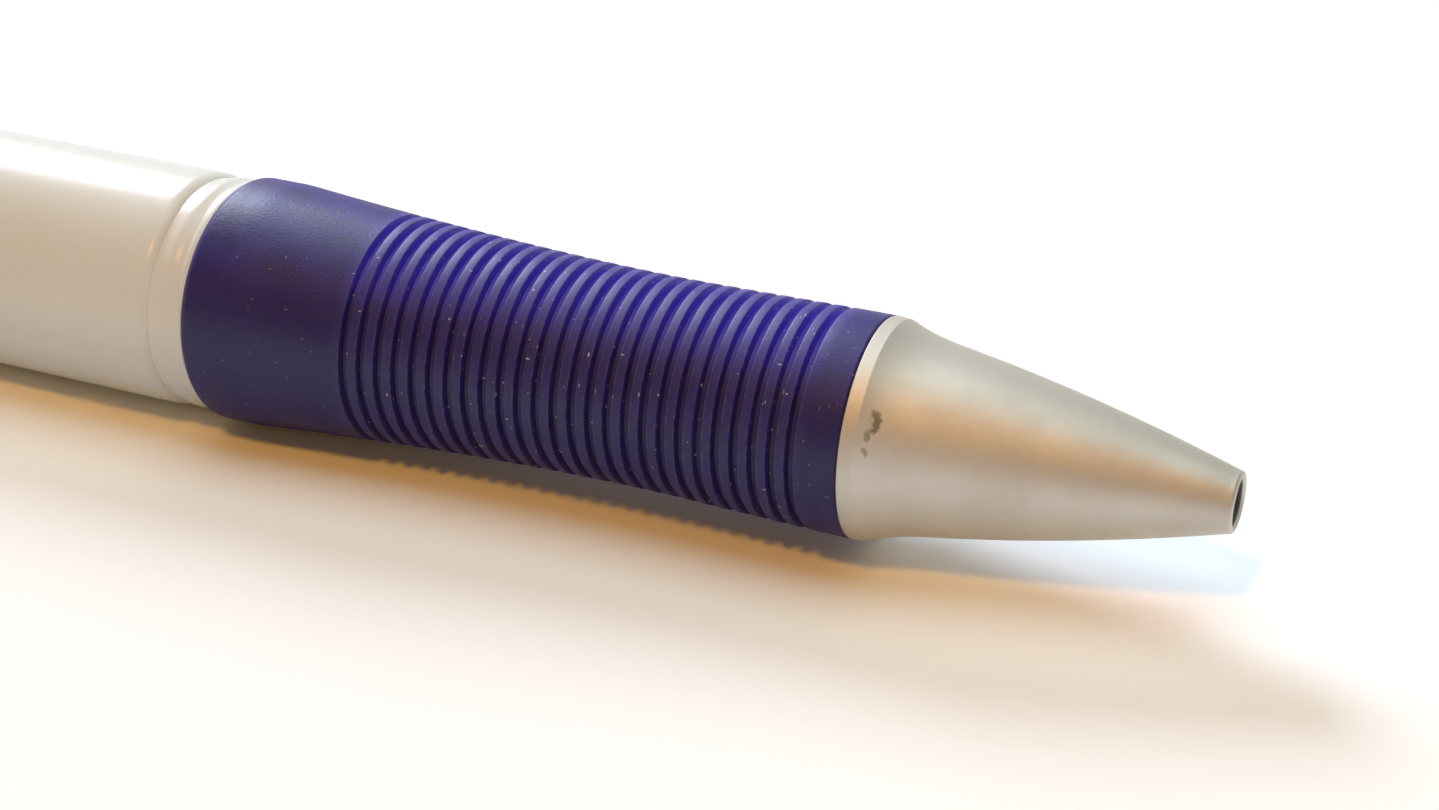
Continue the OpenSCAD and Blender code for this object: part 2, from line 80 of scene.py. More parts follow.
def setting(kind, **limits):
    """A function that makes settings of one kind from a name, a description and a default."""
    def make(name, description, default):
        return kind(name=name, description=description, default=default, **limits)
    return make


length = setting(bpy.props.FloatProperty, min=0, unit="LENGTH", precision=5)
angle = setting(bpy.props.FloatProperty, subtype="ANGLE")
count = setting(bpy.props.IntProperty, min=1)
colour = setting(bpy.props.FloatVectorProperty, size=3, min=0, max=1, subtype="COLOR")
power = setting(bpy.props.FloatProperty, min=0, unit="POWER")
lift = setting(bpy.props.FloatProperty, min=1, max=2)
focal_length = setting(bpy.props.FloatProperty, min=1, unit="CAMERA")
offset = setting(bpy.props.FloatVectorProperty, size=3, subtype="TRANSLATION", unit="LENGTH")


class PenSizes(bpy.types.PropertyGroup):
    """Sizes of the pen's outside"""

    rim_radius: length("Rim radius", "Radius of the nose cone's rim", RADIUS["nose_cone"])
    rim_width: length("Rim width", "Width of the nose cone's rim", 0.68 * MM)
    neck_radius: length("Neck radius", "Radius where the flare to the rim starts", 4.44 * MM)
    flare_length: length("Flare length", "Length of the flare between cone and rim", 2.97 * MM)
    tip_radius: length("Tip radius", "Radius of the cone's small end", 1.385 * MM)
    tip_round: length("Tip rounding", "Rounding of the cone's small end", 0.22 * MM)
    cone_bow: length("Cone bow", "How far the cone bows out from a straight taper", 0.23 * MM)
    hole_radius: length("Hole radius", "Radius of the hole for the point", 1.05 * MM)
    waist_radius: length("Waist radius", "Radius of the grip at its waist", 5.15 * MM)
    waist_at: length("Waist place", "Distance from the grip's front edge to the waist", 11.4 * MM)
    band_radius: length("Band radius", "Radius of the grip's rear band", RADIUS["grip"])
    band_length: length("Band length", "Length of the grip's rear band", 1.9 * MM)
    band_round: length("Band rounding", "Rounding of the grip's rear edge", 0.5 * MM)
    smooth_front: length("Smooth front", "Smooth stretch in front of the first groove", 2.1 * MM)
    groove_count: count("Grooves", "Number of grooves in the grip", 26)
    groove_pitch: length("Groove pitch", "Distance from one groove to the next", 0.914 * MM)
    groove_width: length("Groove width", "Width of a groove at its mouth", 0.44 * MM)
    groove_floor: length("Groove floor", "Width of a groove at its floor", 0.26 * MM)
    groove_depth: length("Groove depth", "Depth of a groove", 0.32 * MM)
    groove_slope: length("Groove slope", "Width of the slope at a groove's rear side", 0.13 * MM)
    lip_round: length("Lip rounding", "Rounding of each rib's rear edge", 0.1 * MM)
    rib_round: length("Rib rounding", "Rounding of the other edges of the ribs", 0.035 * MM)
    barrel_radius: length("Barrel radius", "Radius of the barrel's front", RADIUS["barrel"])
    barrel_round: length("Barrel rounding", "Rounding of the barrel's front edge", 0.9 * MM)
    barrel_rear: length("Barrel rear", "Radius of the barrel's rear end", RADIUS["top_collar"])
    taper_length: length("Taper length", "Length of the barrel's taper", 36 * MM)
    collar_step: length("Collar step", "How far the collar's edges lie below the barrel", 0.24 * MM)
    collar_crown: length("Collar crown", "How far the collar is crowned", 0.16 * MM)
    top_rear: length("Top collar rear", "Radius of the top collar's rear end", 5.1 * MM)
    top_round: length("Top collar rounding", "Rounding of the top collar's rear edge", 0.6 * MM)
    button_round: length("Button rounding", "Rounding of the button's end", 1 * MM)
    clip_width: length("Clip width", "Width of the clip at its shoulder", 4.4 * MM)
    clip_end_width: length("Clip end width", "Width of the clip at its free end", 3.2 * MM)
    clip_thickness: length("Clip thickness", "Thickness of the clip", 1.3 * MM)
    clip_droop: angle("Clip droop", "Angle of the clip below level", math.radians(29.8182))
    wire_radius: length("Wire radius", "Radius of the spring's wire", 0.175 * MM)
    spring_turns: count("Spring turns", "Turns of the spring", 9)


class PenColours(bpy.types.PropertyGroup):
    """Colours of the pen's materials"""

    metal: colour("Metal", "Satin metal of nose, collar, clip and button", (0.80, 0.75, 0.67))
    metal_shade: colour("Metal shade", "Darker patches of the satin metal", (0.745, 0.695, 0.62))
    worn: colour("Worn spots", "Base metal where the finish has chipped", (0.25, 0.195, 0.10))
    bore: colour("Bore", "Dull metal inside the point's hole", (0.28, 0.28, 0.25))
    # Painted light and shade: the colours for the upper grooves and upper ribs are lit copies, and
    # those for the lower grooves and lower ribs are shaded copies, of the same rubber.
    rubber: colour("Rubber", "Clean rubber in the upper grooves", (0.075, 0.038, 0.62))
    rubber_grime: colour(
        "Rubber grime", "Rubber with grime low in the grooves", (0.022, 0.010, 0.14))
    rubber_rib: colour("Rubber ribs", "Handled rubber on the ribs", (0.034, 0.021, 0.195))
    rubber_top: colour("Rubber tops", "Clean rubber on top of the ribs", (0.054, 0.037, 0.31))
    rubber_band: colour("Rubber bands", "Worn rubber on the smooth bands", (0.019, 0.0095, 0.15))
    # Partly real and partly painted light: rubbed, dusty rib edges that also stand in for a painted
    # highlight along the rib lips.
    rubber_edge: colour("Rubber edges", "Rubbed and dusty edges of the ribs", (0.15, 0.13, 0.29))
    lint: colour("Lint", "Lint caught on the rubber", (0.66, 0.64, 0.70))
    plastic: colour("White plastic", "Barrel and collar", (0.93, 0.94, 0.91))
    plastic_shade: colour(
        "White plastic shade", "Handled patches of the plastic", (0.90, 0.91, 0.87))
    cam: colour("Cam plastic", "Click mechanism", (0.80, 0.79, 0.75))
    steel: colour("Spring steel", "Spring wire", (0.58, 0.58, 0.60))
    brass: colour("Point metal", "Metal point of the refill", (0.72, 0.60, 0.36))
    ball: colour("Ball", "Writing ball", (0.33, 0.33, 0.35))
    ink: colour("Ink", "Ink column", (0.012, 0.022, 0.16))
    follower: colour("Follower", "Grease behind the ink", (0.70, 0.55, 0.27))
    holder: colour("Holder", "Plastic holder of the point", (0.62, 0.66, 0.70))
    tube: colour("Ink tube", "Clear plastic of the ink tube", (0.90, 0.93, 0.95))


class PenStage(bpy.types.PropertyGroup):
    """Floor, lamps and camera"""

    floor: colour("Floor", "Colour of the floor", (0.775, 0.815, 0.87))
    floor_lift: lift("Floor lift", "How much whiter the floor is seen", 1.68)
    room: colour("Room", "Light from the room in front of the pen", (0.29, 0.165, 0.055))
    wall: colour("Wall", "Light from the wall behind the pen", (0.62, 0.62, 0.585))
    ceiling: colour("Ceiling", "Light from above the pen", (0.01, 0.01, 0.01))
    window: colour("Window", "Colour of the window behind the pen", (0.83, 0.89, 1.0))
    window_power: power("Window power", "Power of the window's light", 5.9)
    lamp: colour("Lamp", "Colour of the warm lamp in front of the pen", (1.0, 0.45, 0.06))
    lamp_power: power("Lamp power", "Power of the warm lamp", 1.1)
    panel: colour("Panel", "Colour of the large panel above the pen", (0.80, 0.97, 1.0))
    panel_power: power("Panel power", "Power of the large panel", 3.8)
    lens: focal_length("Lens", "Focal length of the camera", 65.996)
    azimuth: angle("Azimuth", "Turn of the camera round the pen", math.radians(23.181))
    elevation: angle("Elevation", "Height of the camera as an angle", math.radians(29.201))
    camera_from_tip: offset(
        "Camera place", "Place of the camera, from the end of the nose cone",
        (18.104 * MM, -100.676 * MM, 60.670 * MM))


def on_axis(station, out=0.0, across=0.0):
    """Point at a station, a distance above the pen's axis and a distance across it."""
    return Vector((TIP_X - station, AXIS.y + across, AXIS.z + out))


def deselect():
    bpy.ops.object.select_all(action="DESELECT")


def make_active(piece):
    """Makes a piece the active one, and the only one that is selected."""
    deselect()
    bpy.context.view_layer.objects.active = piece
    piece.select_set(True)


def draw_outline(name, outline):
    """Starts a piece in edit mode as a chain of edges through (station, distance out) points."""
    deselect()
    bpy.ops.mesh.primitive_plane_add(size=0.1 * MM, location=on_axis(*outline[0]))
    piece = bpy.context.object
    piece.name = piece.data.name = name
    bpy.ops.object.transform_apply()
    bpy.ops.object.mode_set(mode="EDIT")
    bpy.ops.mesh.select_all(action="SELECT")
    bpy.ops.mesh.merge(type="CENTER")
    for here, there in zip(outline, outline[1:]):
        step = on_axis(*there) - on_axis(*here)
        bpy.ops.mesh.extrude_region_move(TRANSFORM_OT_translate={"value": step})
    return piece


def clean_up():
    """Merges doubles and turns the faces outwards, then leaves edit mode."""
    bpy.ops.mesh.select_all(action="SELECT")
    bpy.ops.mesh.remove_doubles(threshold=MERGE_WITHIN)
    bpy.ops.mesh.normals_make_consistent(inside=False)
    bpy.ops.object.mode_set(mode="OBJECT")


def turn(name, profile, steps=ROUND_STEPS):
    """Spins a closed profile of (station, radius) points round the pen's axis."""
    piece = draw_outline(name, [*profile, profile[0]])
    bpy.ops.mesh.select_all(action="SELECT")
    bpy.ops.mesh.spin(steps=steps, angle=2 * math.pi, center=AXIS, axis=(1, 0, 0))
    clean_up()
    return piece


def modify(piece, kind, **settings):
    """Adds a modifier to the active piece and applies it."""
    modifier = piece.modifiers.new(kind.title(), kind)
    for key, value in settings.items():
        setattr(modifier, key, value)
    bpy.ops.object.modifier_apply(modifier=modifier.name)


def smooth(degrees=35):
    """Shades the active piece smooth, apart from edges that are sharper than an angle."""
    bpy.ops.object.shade_smooth_by_angle(angle=math.radians(degrees))


def bevel(piece, width, degrees, segments=3, **settings):
    """Rounds the edges of the active piece that are sharper than an angle."""
    modify(piece, "BEVEL", width=width, segments=segments, limit_method="ANGLE",
           angle_limit=math.radians(degrees), **settings)


def round_edges(piece, width, segments=3, degrees=35):
    """Shades the active piece smooth and rounds the edges that are sharper than an angle."""
    smooth(degrees)
    bevel(piece, width, degrees, segments, harden_normals=True)
    modify(piece, "WELD", merge_threshold=MERGE_WITHIN)


def combine(piece, tool, operation):
    """Adds a tool's shape to the piece or cuts it out, and deletes the tool.

    Both are split into triangles first, so that the number of faces stays the same at each run.
    """
    for part in (tool, piece):
        make_active(part)
        modify(part, "TRIANGULATE")
    modify(piece, "BOOLEAN", operation=operation, object=tool, solver="EXACT")
    modify(piece, "WELD", merge_threshold=MERGE_WITHIN)
    mesh = tool.data
    bpy.data.objects.remove(tool)
    bpy.data.meshes.remove(mesh)


def turn_to_clip_side(piece, droop):
    """Turns a piece that stands above the axis to the clip's side, a little below level."""
    make_active(piece)
    bpy.ops.object.mode_set(mode="EDIT")
    bpy.ops.mesh.select_all(action="SELECT")
    bpy.ops.transform.rotate(
        value=math.radians(90) + droop, orient_axis="X", center_override=AXIS)
    bpy.ops.object.mode_set(mode="OBJECT")


def steps_between(start, end, parts):
    """Evenly spaced values from a start to an end."""
    return [start + (end - start) * i / parts for i in range(parts + 1)]


def arc(centre, radius, start, end, parts=8):
    """Points of an arc in the plane of stations and radii, between two angles in degrees."""
    station, out = centre
    angles = [math.radians(degrees) for degrees in steps_between(start, end, parts)]
    return [(station + radius * math.sin(a), out + radius * math.cos(a)) for a in angles]


def finish_piece(piece, material, body, slot, *nodes):
    """Gives a piece its material and its place among the bodies."""
    piece.data.materials.clear()
    piece.data.materials.append(material)
    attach(piece, body)
    if nodes:
        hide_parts(*nodes)


def paint_node(node, material):
    """Gives a carried-over CAD node its material."""
    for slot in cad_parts[node].material_slots:
        slot.material = material


def nose_profile(z):
    """Outside, stem and bores of the nose cone."""
    nose_rear, stem_rear = FRONT["grip"], REAR["nose_cone"]
    cone_end = nose_rear - z.rim_width - z.flare_length
    rise = z.neck_radius - z.tip_radius

    def cone(s):
        t = s / cone_end
        return z.tip_radius + rise * t + 4 * z.cone_bow * t * (1 - t)

    rim_step, flare_curve = 0.05 * MM, 2.8
    flare_run = (rise - 4 * z.cone_bow) / cone_end * z.flare_length
    flare_rise = z.rim_radius - rim_step - z.neck_radius - flare_run

    def flare(t):
        return z.neck_radius + flare_run * t + flare_rise * t ** flare_curve

    lip = arc((z.tip_round, cone(z.tip_round) - z.tip_round), z.tip_round, -90, 0, parts=6)
    outside = [(s, cone(s)) for s in steps_between(2 * z.tip_round, cone_end, 28)]
    outside += [(cone_end + z.flare_length * t, flare(t)) for t in steps_between(0, 1, 14)[1:]]
    hole_front, hole_rear, holder_front = 0.15 * MM, 2 * MM, 2.6 * MM
    edge_width, edge_depth = 0.02 * MM, 0.06 * MM
    stem_radius, spring_radius, holder_radius = 3 * MM, 2.45 * MM, 1.4 * MM
    spring_seat = FRONT["spring"] - SEAT_GAP
    return [
        (hole_front, z.hole_radius), *lip, *outside, (nose_rear - edge_width, z.rim_radius),
        (nose_rear, z.rim_radius - edge_depth), (nose_rear, stem_radius),
        (stem_rear, stem_radius), (stem_rear, spring_radius), (spring_seat, spring_radius),
        (spring_seat, holder_radius), (holder_front, holder_radius), (hole_rear, z.hole_radius)]


class PEN_OT_nose_cone(bpy.types.Operator):
    """Build the satin nose cone with its flared rim, hole and stem"""

    bl_idname = "pen.nose_cone"
    bl_label = "Nose Cone"

    def execute(self, context):
        piece = turn("satin_nose_cone", nose_profile(context.scene.pen_sizes))
        round_edges(piece, width=0.04 * MM, degrees=20)
        material = made_of(satin_metal, "worn_satin_metal", worn=True)
        finish_piece(piece, material, "barrel", "satin_metal", "nose_cone")
        return {"FINISHED"}


GRIP_SWELL = 1.65


def grip_radius(z, s):
    """Radius of the grip at a station, without its grooves."""
    front, rear = FRONT["grip"], REAR["grip"]
    waist = front + z.waist_at
    if s < waist:
        rise = (z.rim_radius - z.waist_radius) / 2
        return z.waist_radius + rise * (1 + math.cos(math.pi * (s - front) / z.waist_at))
    share = (s - waist) / (rear - z.band_round - z.band_length - waist)
    return z.waist_radius + (z.band_radius - z.waist_radius) * min(1, share) ** GRIP_SWELL


def rib_range(z):
    """Stations of the first groove's front edge and of the last groove's rear edge."""
    start = FRONT["grip"] + z.smooth_front
    return start, start + (z.groove_count - 1) * z.groove_pitch + z.groove_width


def groove(z, middle):
    """Points of a groove: rounded lip of the rib in front, a steep wall, the floor and a slope."""
    front, rear = middle - z.groove_width / 2, middle + z.groove_width / 2
    lip_centre = front - z.lip_round, grip_radius(z, front) - z.lip_round
    points = arc(lip_centre, z.lip_round, 0, 90, parts=4)
    floor_rear = rear - z.groove_slope
    for s in (floor_rear - z.groove_floor, floor_rear):
        points.append((s, grip_radius(z, s) - z.groove_depth))
    return [*points, (rear, grip_radius(z, rear))]


def grip_profile(z):
    """Outside of the grip with its grooves, and its bore."""
    front, rear = FRONT["grip"], REAR["grip"]
    bore, front_edge, front_steps = 4.11 * MM, 0.12 * MM, (0.7 * MM, 1.4 * MM)
    first = front + z.smooth_front + z.groove_width / 2
    profile = [
        (front, bore), (front, z.rim_radius - front_edge), (front + front_edge, z.rim_radius)]
    profile += [(front + step, grip_radius(z, front + step)) for step in front_steps]
    for i in range(z.groove_count):
        profile += groove(z, first + i * z.groove_pitch)
    ribbed_end = rib_range(z)[1]
    band_rear = rear - z.band_round
    profile += [(s, grip_radius(z, s)) for s in steps_between(ribbed_end, band_rear, 14)[1:-1]]
    profile += arc((band_rear, z.band_radius - z.band_round), z.band_round, 0, 90)
    return [*profile, (rear, bore)]


def mark_crests(piece, z):
    """Writes each point's height above the grooves' floors, as a share, and if it is on a band."""
    start, end = rib_range(z)
    shares, bands = [], []
    for vertex in piece.data.vertices:
        out = math.hypot(vertex.co.y - AXIS.y, vertex.co.z - AXIS.z)
        station = TIP_X - vertex.co.x
        under = grip_radius(z, station) - out
        on_band = not start - z.lip_round < station < end + z.lip_round
        bands.append(float(on_band))
        shares.append(1.0 if on_band else min(1, max(0, 1 - under / z.groove_depth)))
    for name, values in (("crest", shares), ("smooth_band", bands)):
        piece.data.attributes.new(name, "FLOAT", "POINT").data.foreach_set("value", values)


class PEN_OT_grip(bpy.types.Operator):
    """Build the waisted rubber grip with its grooves"""

    bl_idname = "pen.grip"
    bl_label = "Grip"

    def execute(self, context):
        z = context.scene.pen_sizes
        piece = turn("ribbed_grip", grip_profile(z), steps=144)
        round_edges(piece, z.rib_round, segments=2)
        mark_crests(piece, z)
        finish_piece(piece, made_of(grip_rubber), "barrel", "indigo_rubber", "grip")
        return {"FINISHED"}


# Collar from the grip to the barrel: share of its width, and share of its crown there
COLLAR_RELIEF = ((0, 0.7), (0.08, 0.8), (0.24, 0.3), (0.55, 1.0), (1.0, 0.0))


def smooth_steps(points, parts=6):
    """Points of a curve that eases from each given point to the next."""
    curve = [points[0]]
    for (t0, v0), (t1, v1) in zip(points, points[1:]):
        for share in steps_between(0, 1, parts)[1:]:
            eased = (1 - math.cos(math.pi * share)) / 2
            curve.append((t0 + (t1 - t0) * share, v0 + (v1 - v0) * eased))
    return curve


class PEN_OT_front_section(bpy.types.Operator):
    """Build the tube under the grip with the collar that shows behind it"""

    bl_idname = "pen.front_section"
    bl_label = "Front Section"

    def execute(self, context):
        z = context.scene.pen_sizes
        front, collar = FRONT["grip"], REAR["grip"]
        seam, rear = FRONT["barrel"], REAR["front_section"]
        bore, core, spigot = 3.28 * MM, 4.08 * MM, 4.58 * MM
        edge = z.barrel_radius - z.collar_step
        crown = [(collar + (seam - collar) * t, edge + z.collar_crown * rise)
                 for t, rise in smooth_steps(COLLAR_RELIEF)]
        piece = turn("gloss_front_section", [
            (front, bore), (front, core), (collar, core), *crown, (seam, spigot), (rear, spigot),
            (rear, bore)])
        round_edges(piece, width=0.05 * MM)
        finish_piece(piece, made_of(white_plastic), "barrel", "white_plastic", "front_section")
        return {"FINISHED"}


class PEN_OT_barrel(bpy.types.Operator):
    """Build the white gloss barrel"""

    bl_idname = "pen.barrel"
    bl_label = "Barrel"

    def execute(self, context):
        z = context.scene.pen_sizes
        seam, rear = FRONT["barrel"], REAR["barrel"]
        guide = FRONT["cam_guide"] - SEAT_GAP
        straight_front, taper_front = seam + 1 * MM, rear - z.taper_length
        socket_end = REAR["front_section"] + 0.4 * MM
        socket, bore, guide_seat = 4.61 * MM, 4.1 * MM, 4.605 * MM

        def outside(s):
            t = (s - taper_front) / z.taper_length
            return z.barrel_radius - (z.barrel_radius - z.barrel_rear) * t * t * (3 - 2 * t)

        slope = math.acos(1 - z.collar_step / z.barrel_round)
        centre = seam + z.barrel_round * math.sin(slope), z.barrel_radius - z.barrel_round
        edge = arc(centre, z.barrel_round, -math.degrees(slope), 0)
        straight = [(s, z.barrel_radius) for s in steps_between(straight_front, taper_front, 6)]
        taper = [(s, outside(s)) for s in steps_between(taper_front, rear, 24)]
        piece = turn("gloss_barrel", [
            (seam, socket), *edge, *straight[:-1], *taper, (rear, guide_seat),
            (guide, guide_seat), (guide, bore), (socket_end, bore), (socket_end, socket)])
        round_edges(piece, width=0.06 * MM)
        finish_piece(piece, made_of(white_plastic), "barrel", "white_plastic", "barrel")
        return {"FINISHED"}


def box_between(name, low, high):
    """A block between two corners, as a tool for cutting and joining."""
    deselect()
    bpy.ops.mesh.primitive_cube_add(size=1, location=(low + high) / 2)
    block = bpy.context.object
    block.name = name
    block.scale = high - low
    bpy.ops.object.transform_apply()
    return block


def pin_across(name, middle, radius, width):
    """A pin across the pen with rounded ends."""
    deselect()
    bpy.ops.mesh.primitive_cylinder_add(
        vertices=40, radius=radius, depth=width, location=middle,
        rotation=(math.radians(90), 0, 0))
    pin = bpy.context.object
    pin.name = name
    bpy.ops.object.transform_apply()
    bevel(pin, width=0.2 * radius, degrees=60)
    return pin


# Knuckle and root of the clip, before they are turned to the clip's side
KNUCKLE_OUT = 5 * MM
KNUCKLE_RADIUS = 1 * MM
ROOT_WIDTH = 3.4 * MM
ROOT_TOP = 6 * MM
ROOT_HALF = 1.2 * MM


def knuckle_station():
    """Station of the clip's knuckle, in the middle of the top collar."""
    return (REAR["barrel"] + REAR["top_collar"]) / 2


class PEN_OT_top_collar(bpy.types.Operator):
    """Build the satin ring that closes the barrel, with its slot for the clip"""

    bl_idname = "pen.top_collar"
    bl_label = "Top Collar"

    def execute(self, context):
        z = context.scene.pen_sizes
        front, step, rear = FRONT["top_collar"], REAR["barrel"], REAR["top_collar"]
        hole, spigot, gap = 3.4 * MM, 4.575 * MM, 0.1 * MM
        edge = arc((rear - z.top_round, z.top_rear - z.top_round), z.top_round, 0, 90)
        piece = turn("satin_top_collar", [
            (front, hole), (front, spigot), (step, spigot), (step, z.barrel_rear), *edge,
            (rear, hole)])
        round_edges(piece, width=0.1 * MM)
        middle = on_axis(knuckle_station(), KNUCKLE_OUT)
        outside = on_axis(knuckle_station(), 2 * KNUCKLE_OUT)
        half = Vector((ROOT_HALF + 1.5 * gap, ROOT_WIDTH / 2 + gap, 0))
        slot = box_between("slot", middle - half, outside + half)
        pocket = pin_across("pocket", middle, KNUCKLE_RADIUS + gap, ROOT_WIDTH + 2 * gap)
        for tool in (slot, pocket):
            turn_to_clip_side(tool, z.clip_droop)
            combine(piece, tool, "DIFFERENCE")
        smooth()
        finish_piece(piece, made_of(satin_metal), "barrel", "satin_metal", "top_collar")
        return {"FINISHED"}


def clip_side(z, shoulder):
    """Outline of the clip's arm from its side, from the root to the free end and back."""
    barrel_rear, end = REAR["barrel"], FRONT["clip"]
    root_rear, root_front = knuckle_station() + ROOT_HALF, knuckle_station() - ROOT_HALF
    inner, end_inner = z.barrel_radius + 1.3 * MM, z.barrel_radius + 0.72 * MM
    outer = inner + z.clip_thickness
    bend, inner_bend = 1.6 * MM, 0.8 * MM
    sunk = ROOT_TOP - 0.02 * MM
    return [
        (root_rear, sunk), *arc((root_rear - bend, outer - bend), bend, 60, 0),
        (shoulder, outer), (end, end_inner + z.clip_thickness), (end, end_inner),
        (shoulder, inner),
        *arc((barrel_rear - inner_bend, inner - inner_bend), inner_bend, 0, 60),
        (root_front, sunk)]


def taper_arm(z, shoulder, end):
    """Cuts the clip's arm to its taper and rounds its free end, in edit mode."""
    half, end_half = z.clip_width / 2, z.clip_end_width / 2
    centre = end + end_half
    cuts = [((shoulder, half), (centre, end_half))]
    corners = [(centre - end_half * math.sin(a), end_half * math.cos(a))
               for a in steps_between(0, math.pi / 2, 8)]
    cuts += list(zip(corners, corners[1:]))
    for (s0, w0), (s1, w1) in cuts:
        for side in (-1, 1):
            along = on_axis(s1, 0, side * w1) - on_axis(s0, 0, side * w0)
            outward = along.cross(Vector((0, 0, 1))).normalized()
            if outward.y * side < 0:
                outward.negate()
            bpy.ops.mesh.select_all(action="SELECT")
            bpy.ops.mesh.bisect(plane_co=on_axis(s0, 0, side * w0), plane_no=outward,
                                use_fill=True, clear_outer=True, threshold=MERGE_WITHIN)


class PEN_OT_clip(bpy.types.Operator):
    """Build the pocket clip with its root, knuckle and bead"""

    bl_idname = "pen.clip"
    bl_label = "Clip"

    def execute(self, context):
        z = context.scene.pen_sizes
        knuckle, end = knuckle_station(), FRONT["clip"]
        shoulder = REAR["barrel"] - 6 * MM
        piece = draw_outline("pocket_clip", clip_side(z, shoulder))
        bpy.ops.mesh.select_all(action="SELECT")
        bpy.ops.mesh.edge_face_add()
        bpy.ops.transform.translate(value=(0, -z.clip_width / 2, 0))
        bpy.ops.mesh.extrude_region_move(TRANSFORM_OT_translate={"value": (0, z.clip_width, 0)})
        taper_arm(z, shoulder, end)
        clean_up()
        bevel(piece, width=0.22 * MM, degrees=50)
        root_half, overlap = ROOT_HALF - 0.25 * MM, 0.5 * MM
        across = Vector((0, ROOT_WIDTH / 2, 0))
        root = box_between("root", on_axis(knuckle + root_half, KNUCKLE_OUT) - across,
                           on_axis(knuckle - root_half, ROOT_TOP + overlap) + across)
        bead_radius, bead_gap = 0.9 * MM, 0.15 * MM
        bead_middle = on_axis(end + z.clip_end_width / 2, z.barrel_radius + bead_gap + bead_radius)
        bead = pin_across("bead", bead_middle, bead_radius, 0.7 * z.clip_end_width)
        pin = pin_across("knuckle", on_axis(knuckle, KNUCKLE_OUT), KNUCKLE_RADIUS, ROOT_WIDTH)
        for tool in (root, pin, bead):
            combine(piece, tool, "UNION")
        turn_to_clip_side(piece, z.clip_droop)
        smooth()
        finish_piece(piece, made_of(satin_metal), "clip", "satin_metal", "clip")
        return {"FINISHED"}


class PEN_OT_push_button(bpy.types.Operator):
    """Build the satin push button"""

    bl_idname = "pen.push_button"
    bl_label = "Push Button"

    def execute(self, context):
        z = context.scene.pen_sizes
        front, rear = FRONT["push_button"], REAR["push_button"]
        out = RADIUS["push_button"]
        bore, bore_rear = 2.48 * MM, REAR["thrust_cam"] + SEAT_GAP
        edge = arc((rear - z.button_round, out - z.button_round), z.button_round, 0, 90, parts=10)
        face = [(rear, out * share) for share in (0.45, 0.2, 0)]
        piece = turn("satin_push_button", [
            (front, bore), (front, out), *edge, *face, (bore_rear, 0), (bore_rear, bore)])
        round_edges(piece, width=0.1 * MM)
        finish_piece(piece, made_of(satin_metal), "button", "satin_metal", "push_button")
        return {"FINISHED"}


class PEN_OT_spring(bpy.types.Operator):
    """Build the return spring round the refill's holder"""

    bl_idname = "pen.spring"
    bl_label = "Spring"

    def execute(self, context):
        z = context.scene.pen_sizes
        low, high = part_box("spring")
        coil = RADIUS["spring"] - z.wire_radius
        deselect()
        bpy.ops.mesh.primitive_circle_add(vertices=12, radius=z.wire_radius, location=(0, 0, 0),
                                          rotation=(math.radians(90), 0, 0))
        piece = bpy.context.object
        piece.name = piece.data.name = "return_spring"
        bpy.ops.object.transform_apply()
        bpy.ops.object.mode_set(mode="EDIT")
        bpy.ops.transform.translate(value=(high.x - z.wire_radius, 0, coil))
        bpy.ops.object.mode_set(mode="OBJECT")
        piece.location = AXIS
        rise = (high.x - low.x) - 2 * z.wire_radius
        steps = 32 * z.spring_turns
        modify(piece, "SCREW", axis="X", angle=2 * math.pi * z.spring_turns, screw_offset=-rise,
               steps=steps, render_steps=steps, use_merge_vertices=True)
        bpy.ops.object.transform_apply()
        bpy.ops.object.mode_set(mode="EDIT")
        bpy.ops.mesh.select_all(action="DESELECT")
        bpy.ops.mesh.select_non_manifold(extend=False)
        bpy.ops.mesh.edge_face_add()
        clean_up()
        smooth(50)
        finish_piece(piece, made_of(spring_steel), "barrel", "spring_steel", "spring")
        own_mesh(piece)
        return {"FINISHED"}


class PEN_OT_refill(bpy.types.Operator):
    """Build the metal point and finish the refill's other pieces"""

    bl_idname = "pen.refill"
    bl_label = "Refill"

    def execute(self, context):
        front, rear = FRONT["point"], REAR["point"]
        out, lip, tail, channel = RADIUS["point"], 0.58 * MM, 0.8 * MM, 0.4 * MM
        ball_low, ball_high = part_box("ball")
        ball = TIP_X - (ball_low.x + ball_high.x) / 2
        cup_radius = RADIUS["ball"] + 0.02 * MM
        cone_length = 2.5 * MM
        shoulder = FRONT["point_holder"] - SEAT_GAP
        mouth = math.sqrt(cup_radius ** 2 - (ball - front) ** 2)
        mouth_angle = math.degrees(math.atan2(front - ball, mouth))
        channel_angle = math.degrees(math.acos(channel / cup_radius))
        cup = arc((ball, 0), cup_radius, channel_angle, mouth_angle, parts=10)
        cone = [(front + cone_length * t, lip + (out - lip) * t) for t in steps_between(0, 1, 4)]
        piece = turn("brass_point", [
            *cup, *cone, (shoulder, out), (shoulder, tail), (rear, tail), (rear, channel)],
            steps=96)
        round_edges(piece, width=0.03 * MM, segments=2)
        finish_piece(piece, made_of(point_metal), "refill", "point_brass", "point")
        paint_node("ball", made_of(ball_metal))
        paint_node("ink_tube", made_of(clear_plastic))
        paint_node("ink", made_of(ink_liquid))
        paint_node("ink_follower", made_of(follower_grease))
        paint_node("point_holder", made_of(moulded_plastic, "holder_plastic", key="holder"))
        return {"FINISHED"}


class PEN_OT_click_parts(bpy.types.Operator):
    """Finish the pieces of the click mechanism"""

    bl_idname = "pen.click_parts"
    bl_label = "Click Parts"

    def execute(self, context):
        for node in ("thrust_cam", "rotor", "cam_guide"):
            paint_node(node, made_of(moulded_plastic, "cam_plastic", key="cam"))
        return {"FINISHED"}


def socket_names(inputs):
    """Inputs under their sockets' names, from names in lower case with underscores."""
    return {key.replace("_", " ").title().replace("Ior", "IOR"): value
            for key, value in inputs.items()}


